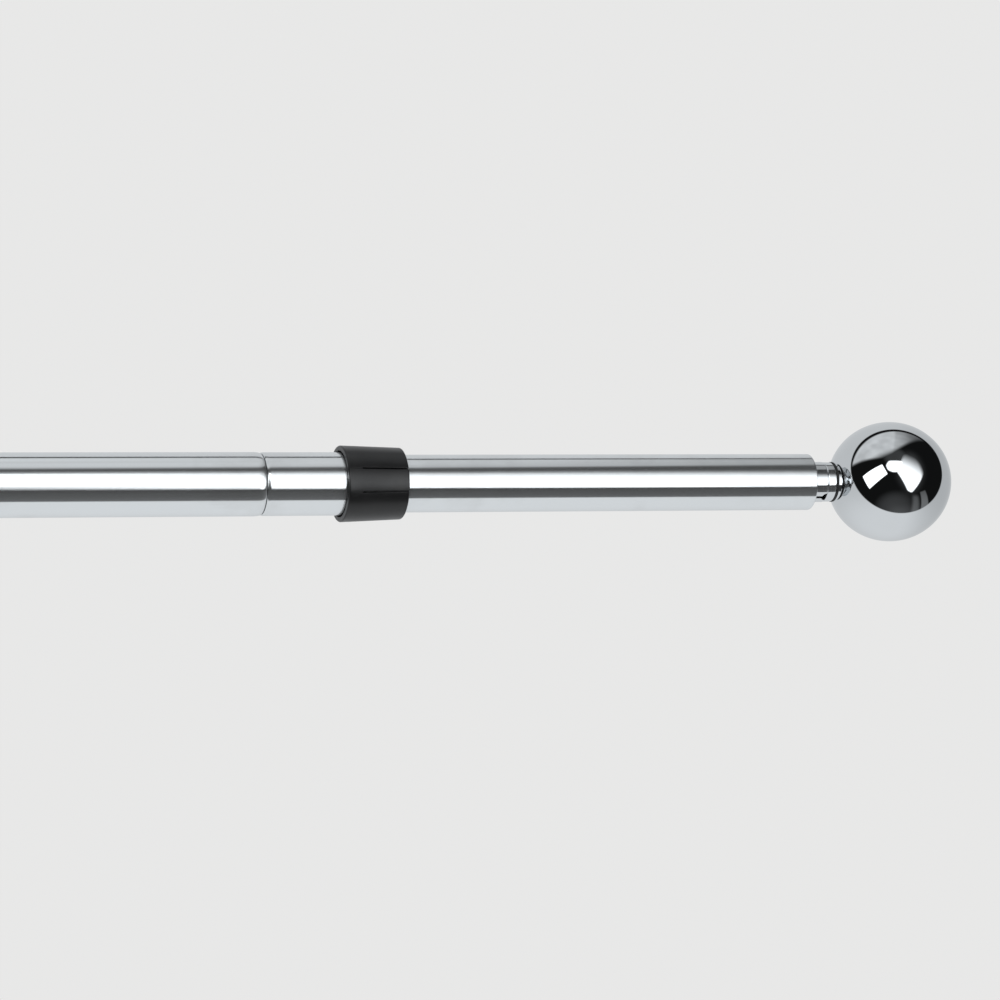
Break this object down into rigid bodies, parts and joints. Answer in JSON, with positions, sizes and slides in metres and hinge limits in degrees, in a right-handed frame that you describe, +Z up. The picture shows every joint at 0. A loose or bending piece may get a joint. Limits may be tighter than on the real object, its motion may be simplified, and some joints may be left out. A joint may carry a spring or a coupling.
{
  "type": "telescopic flagpole",
  "caption": "Chrome telescopic flagpole: a lower tube with a slit black friction collar, an inner tube that slides and turns in it, and a ball finial on a turned neck.",
  "frame": {"origin": "middle of the flat underside of the foot, on the pole's axis", "axes": "+Z up along the pole towards the ball, -Y towards the side that the picture shows, with the middle of one collar tongue 6 degrees round from -Y towards -X"},
  "size_m": [0.0488, 0.0488, 1.2345],
  "materials": {
    "tube_chrome": "polished chrome plating on steel tube",
    "finial_chrome": "mirror chrome plating on turned and spun steel",
    "collar_plastic": "satin moulded black plastic",
    "foot_plastic": "fine-grained moulded black plastic",
    "liner_plastic": "smooth black plastic",
    "bush_plastic": "smooth moulded black plastic",
    "washer_rubber": "matte black rubber"
  },
  "bodies": {
    "lower_pole": {"foot_plug": "foot_plastic", "lower_tube": "tube_chrome", "upper_sleeve": "tube_chrome", "friction_collar": "collar_plastic", "guide_liner": "liner_plastic"},
    "slider": {"slide_bush": "bush_plastic"},
    "upper_pole": {"inner_tube": "tube_chrome", "tube_plug": "finial_chrome", "finial_base": "finial_chrome", "finial_washer": "washer_rubber", "finial_ball": "finial_chrome"}
  },
  "joints": [
    {"name": "pole_extend", "type": "slide", "parent": "lower_pole", "child": "slider", "axis": [0, 0, 1], "range_m": [-0.16, 0.595]},
    {"name": "pole_turn", "type": "hinge", "parent": "slider", "child": "upper_pole", "pos_m": [0, 0, 0.253], "axis": [0, 0, 1], "continuous": true}
  ]
}
